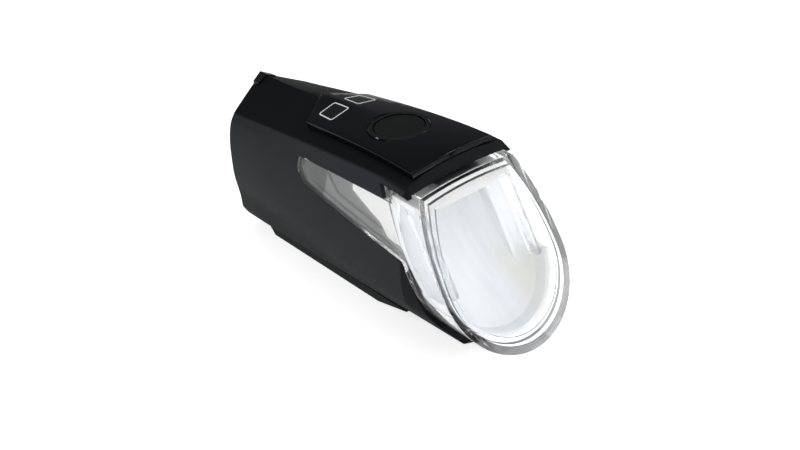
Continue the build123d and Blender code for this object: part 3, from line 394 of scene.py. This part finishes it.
# Each slot's paint, and the values of its shader that stay the same all over.
PAINTED = {
    "housing_plastic": (housing_with_painted_shade, shine(0.18)),
    "seal_rubber": (grained(grey(0.02), grey(0.03), 0.5, 0.7), {}),
    "reflector_pale": (bowl_finish, {"Metallic": 0.1}),
    "white_plate": (grained(grey(0.84), grey(0.90), 0.3, 0.4, depth=0.004), {}),
    "emitter_yellow": (polished(colour(0.85, 0.7, 0.2), 0.1, 0.2), {}),
    "metal_board": (brushed(grey(0.7), 0.3, 0.45), METAL),
    "heat_sink_alloy": (brushed(grey(0.6), 0.3, 0.45), METAL),
    "screw_steel": (brushed(grey(0.45), 0.25, 0.4), METAL),
    "tray_grey": (tray_with_painted_shade, shine(0.3)),
    "pale_strip": (grained(colour(0.86, 0.86, 0.84), colour(0.92, 0.92, 0.90), 0.3, 0.4,
                           depth=0.004), {}),
    "tape_black": (grained(grey(0.02), grey(0.03), 0.6, 0.8), {}),
    "panel_gloss": (polished(colour(0.0015, 0.0018, 0.0035), 0.04, 0.08, edge=0.2), shine(0.25)),
    "window_smoke": (polished(colour(0.003, 0.0033, 0.004), 0.06, 0.1), shine(0.4)),
    "ring_gloss": (polished(colour(0.002, 0.0024, 0.003), 0.12, 0.2, edge=0.12), shine(0.35)),
    "button_matte": (grained(colour(0.005, 0.007, 0.0065), colour(0.007, 0.009, 0.008), 0.45, 0.55,
                             grain=0.18, depth=0.01), shine(0.2)),
    "switch_plastic": (grained(grey(0.03), grey(0.05), 0.4, 0.6), {}),
    "board_green": (grained(colour(0.01, 0.09, 0.04), colour(0.015, 0.11, 0.05), 0.3, 0.4), {}),
    "chip_black": (grained(grey(0.02), grey(0.03), 0.5, 0.6), {}),
    "led_white": (polished(colour(0.8, 0.76, 0.45), 0.2, 0.3), {}),
    "cell_wrap": (polished(colour(0.02, 0.11, 0.3), 0.25, 0.35), {}),
    "tab_nickel": (brushed(grey(0.65), 0.25, 0.4), METAL),
    "cradle_plastic": (grained(grey(0.08), grey(0.1), 0.45, 0.6), {}),
    "foam_grey": (grained(grey(0.09), grey(0.13), 0.8, 0.95, grain=0.6, depth=0.08), {}),
    "port_steel": (brushed(grey(0.55), 0.2, 0.35), METAL),
    "flap_rubber": (polished(colour(0.004, 0.004, 0.005), 0.2, 0.3, edge=0.25), shine(0.4)),
}
# Each clear slot: the share that comes straight through, the colour and the refraction.
CLEAR = {
    "lens_clear": (0.12, colour(0.99, 0.995, 1.0), 1.42),
    "clear_guide": (0.2, colour(0.95, 0.97, 1.0), 1.35),
}
FINISHES = {name: material(name, *look) for name, look in PAINTED.items()}
FINISHES.update({name: clear_material(name, *look) for name, look in CLEAR.items()})

slot_of = {part["node"]: part["material_slot"] for part in frame["record"]["subparts"]}
for name, node in nodes.items():
    finish = FINISHES[slot_of[name]]
    if not node.material_slots:
        node.data.materials.append(finish)
    for slot in node.material_slots:
        slot.material = finish


# Copies of the nodes that show, with their loose triangles joined and shaded smooth.
REAL_EDGE = math.radians(28)
JOIN_DISTANCE = 0.002 * MM
SHOWN = {
    BODY: (
        "housing_shell", "lens_cover", "reflector", "ceiling_plate", "left_light_guide",
        "right_light_guide", "left_side_tray", "right_side_tray", "left_side_reflector_strip",
        "right_side_reflector_strip", "top_panel", "button_ring", "rear_cap", "foot_rail",
        "led_emitter",
    ),
    "button": ("button_cap",),
    "flap": ("port_flap",),
}


def place_piece(name, shape, body, slot_name):
    """Make an object of a built shape, with the finish of the slot, that rides on the body."""
    mesh = bpy.data.meshes.new(name)
    shape.to_mesh(mesh)
    shape.free()
    mesh.materials.append(FINISHES[slot_name])
    made = bpy.data.objects.new(name, mesh)
    bpy.context.scene.collection.objects.link(made)
    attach(made, body)
    return made


def node_shape(name):
    """A copy of a node's surface, in the shared frame."""
    shape = bmesh.new()
    shape.from_mesh(nodes[name].data)
    bmesh.ops.transform(shape, matrix=nodes[name].matrix_world, verts=shape.verts)
    return shape


def smooth_copy(name, body):
    """Replace a node by its copy, smooth where its faces meet at a small angle."""
    shape = node_shape(name)
    bmesh.ops.remove_doubles(shape, verts=shape.verts, dist=JOIN_DISTANCE)
    for face in shape.faces:
        face.smooth = True
    for edge in shape.edges:
        edge.smooth = edge.is_manifold and edge.calc_face_angle(math.pi) < REAL_EDGE
    made = place_piece(name + "_smooth", shape, body, slot_of[name])
    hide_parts(name)


for body, names in SHOWN.items():
    for name in names:
        smooth_copy(name, body)

# White outlines printed round the two mode windows. Plan sizes are in millimetres.
WINDOW = {"near_y": 12.2, "far_y": 18.5, "inner_x": 1.45, "near_x": 7.7, "far_x": 7.1}
LINE_OUT = 0.05
LINE_WIDTH = 0.26
LINE_RADIUS = 0.9
INNER_RADIUS = LINE_RADIUS * 0.7
LINE_RISE = 0.06 * MM
CORNER_STEPS = 6
# The panel's height is looked for from above, also this far beside a place, over its grooves.
GROOVE = 0.1 * MM
RAY_START_Z = 2 * SHOULDER_Z
DOWN = Vector((0, 0, -1))


def surface_tree(name):
    """A node's surface, ready to be met by rays."""
    shape = node_shape(name)
    tree = BVHTree.FromBMesh(shape)
    shape.free()
    return tree


PANEL_NODES = ("top_panel", "left_mode_window", "right_mode_window")
PANEL_SURFACES = [surface_tree(name) for name in PANEL_NODES]


def panel_height(x, y):
    """Height of the panel, or of a window in it, at a place in plan or just beside it."""
    heights = []
    for nudge in (-GROOVE, 0.0, GROOVE):
        for tree in PANEL_SURFACES:
            place = tree.ray_cast(Vector((x + nudge, y + nudge, RAY_START_Z)), DOWN)[0]
            if place:
                heights.append(place.z)
    return max(heights)


def window_loop(side, inset, radius):
    """Plan points of a window's outline with rounded corners, in metres."""
    corners = [
        Vector((WINDOW["inner_x"] + inset, WINDOW["near_y"] + inset)),
        Vector((WINDOW["near_x"] - inset, WINDOW["near_y"] + inset)),
        Vector((WINDOW["far_x"] - inset, WINDOW["far_y"] - inset)),
        Vector((WINDOW["inner_x"] + inset, WINDOW["far_y"] - inset)),
    ]
    points = []
    for index, corner in enumerate(corners):
        before = (corners[index - 1] - corner).normalized() * radius
        after = (corners[(index + 1) % len(corners)] - corner).normalized() * radius
        for step in range(CORNER_STEPS + 1):
            share = step / CORNER_STEPS
            point = corner + before * (1 - share) ** 2 + after * share ** 2
            points.append((side * point.x * MM, point.y * MM))
    return points


def window_line(side, name):
    """A closed band of four loops round a window: over and under the panel, out and in."""
    outer = (-LINE_OUT, LINE_RADIUS)
    inner = (LINE_WIDTH, INNER_RADIUS)
    turns = ((outer, LINE_RISE), (inner, LINE_RISE), (inner, -LINE_RISE), (outer, -LINE_RISE))
    shape = bmesh.new()
    loops = []
    for (inset, radius), rise in turns:
        loops.append([shape.verts.new((x, y, panel_height(x, y) + rise))
                      for x, y in window_loop(side, inset, radius)])
    count = len(loops[0])
    for first, second in zip(loops, loops[1:] + loops[:1]):
        for index in range(count):
            after = (index + 1) % count
            shape.faces.new((first[index], first[after], second[after], second[index]))
    bmesh.ops.recalc_face_normals(shape, faces=shape.faces)
    place_piece(name, shape, BODY, "white_plate")


window_line(-1, "left_window_line")
window_line(1, "right_window_line")


# Stage: a pale floor that the camera sees as white, with the lamp's soft shadow on it.
FLOOR_HALF = 3.0
FLOOR_GREY = 0.82
FLOOR_CAMERA_GLOW = 0.66
FLOOR_CLEAR_GLOW = 1.2


def make_floor():
    mesh = bpy.data.meshes.new("floor")
    shape = bmesh.new()
    bmesh.ops.create_grid(shape, x_segments=1, y_segments=1, size=FLOOR_HALF)
    shape.to_mesh(mesh)
    shape.free()
    floor = bpy.data.objects.new("floor", mesh)
    bpy.context.scene.collection.objects.link(floor)
    made, tree = new_material("floor_white")
    glow = tree.ray("Camera") * FLOOR_CAMERA_GLOW + tree.ray("Transmission") * FLOOR_CLEAR_GLOW
    matte = tree.node("Diffuse", grey(FLOOR_GREY))
    tree.finish(tree.node("Add Shader", matte, tree.node("Emission", grey(1.0), glow)))
    mesh.materials.append(made)


make_floor()

# The white surroundings: how bright they are to the camera, in reflections, through clear
# plastic, and as light on matte surfaces.
WORLD_CAMERA = 1.0
WORLD_GLOSSY = 0.14
WORLD_CLEAR = 1.4
WORLD_MATTE = 0.38


def make_world():
    world = bpy.data.worlds.new("studio")
    bpy.context.scene.world = world
    world.use_nodes = True
    tree = Tree(world.node_tree)
    camera = tree.ray("Camera")
    glossy = tree.ray("Glossy")
    clear = tree.ray("Transmission")
    matte = 1 - (camera + glossy + clear)
    strength = (camera * WORLD_CAMERA + glossy * WORLD_GLOSSY + clear * WORLD_CLEAR
                + matte * WORLD_MATTE)
    tree.finish(tree.node("Background", grey(1.0), strength), "ShaderNodeOutputWorld")


make_world()


def lamp(name, place, target, width, height, power):
    """A soft rectangular lamp that faces the target."""
    light = bpy.data.lights.new(name, "AREA")
    light.shape = "RECTANGLE"
    light.size = width
    light.size_y = height
    light.energy = power
    made = bpy.data.objects.new(name, light)
    made.location = place
    made.rotation_euler = (Vector(target) - Vector(place)).to_track_quat("-Z", "Y").to_euler()
    bpy.context.scene.collection.objects.link(made)


# Three softboxes: place, width, height and power in watts.
CENTRE = (0.0, 0.0, 25 * MM)
lamp("top_softbox", (0.05, 0.10, 0.75), CENTRE, width=0.6, height=0.6, power=0.9)
lamp("left_softbox", (-0.7, -0.25, 0.35), CENTRE, width=0.5, height=0.5, power=2.2)
lamp("right_softbox", (0.65, -0.35, 0.35), CENTRE, width=0.4, height=0.6, power=2.2)
# Two small lamps that glint on the glossy panel's front and left edges, and what they face.
GLINT_SIZE = 0.03
GLINT_POWER = 0.06
PANEL_FRONT_EDGE = (-0.0035, -0.027, 0.051)
PANEL_LEFT_EDGE = (-0.013, -0.024, 0.0505)
lamp("front_glint", (0.190, -0.204, 0.283), PANEL_FRONT_EDGE, GLINT_SIZE, GLINT_SIZE, GLINT_POWER)
lamp("left_glint", (-0.192, 0.213, 0.237), PANEL_LEFT_EDGE, GLINT_SIZE, GLINT_SIZE, GLINT_POWER)


# Camera: the place and aim that were fitted to the photo.
CAMERA_PLACE = (-225.4 * MM, -292.6 * MM, 254.4 * MM)
CAMERA_AZIMUTH = math.radians(-37.97)
CAMERA_ELEVATION = math.radians(32.65)
CAMERA_ROLL = math.radians(4.17)
CAMERA_LENS = 73.44
CAMERA_SENSOR = 36.0
CAMERA_CLIP = 0.01


def make_camera():
    data = bpy.data.cameras.new("camera")
    data.lens = CAMERA_LENS
    data.sensor_width = CAMERA_SENSOR
    data.clip_start = CAMERA_CLIP
    camera = bpy.data.objects.new("camera", data)
    back = Vector((
        math.sin(CAMERA_AZIMUTH) * math.cos(CAMERA_ELEVATION),
        -math.cos(CAMERA_AZIMUTH) * math.cos(CAMERA_ELEVATION),
        math.sin(CAMERA_ELEVATION),
    ))
    level = Vector((math.cos(CAMERA_AZIMUTH), math.sin(CAMERA_AZIMUTH), 0.0))
    upward = back.cross(level)
    across = math.cos(CAMERA_ROLL) * level - math.sin(CAMERA_ROLL) * upward
    upright = math.sin(CAMERA_ROLL) * level + math.cos(CAMERA_ROLL) * upward
    turn = Matrix((across, upright, back)).transposed().to_4x4()
    camera.matrix_world = Matrix.Translation(CAMERA_PLACE) @ turn
    bpy.context.scene.collection.objects.link(camera)
    bpy.context.scene.camera = camera


make_camera()
bpy.context.scene.view_settings.view_transform = "Standard"
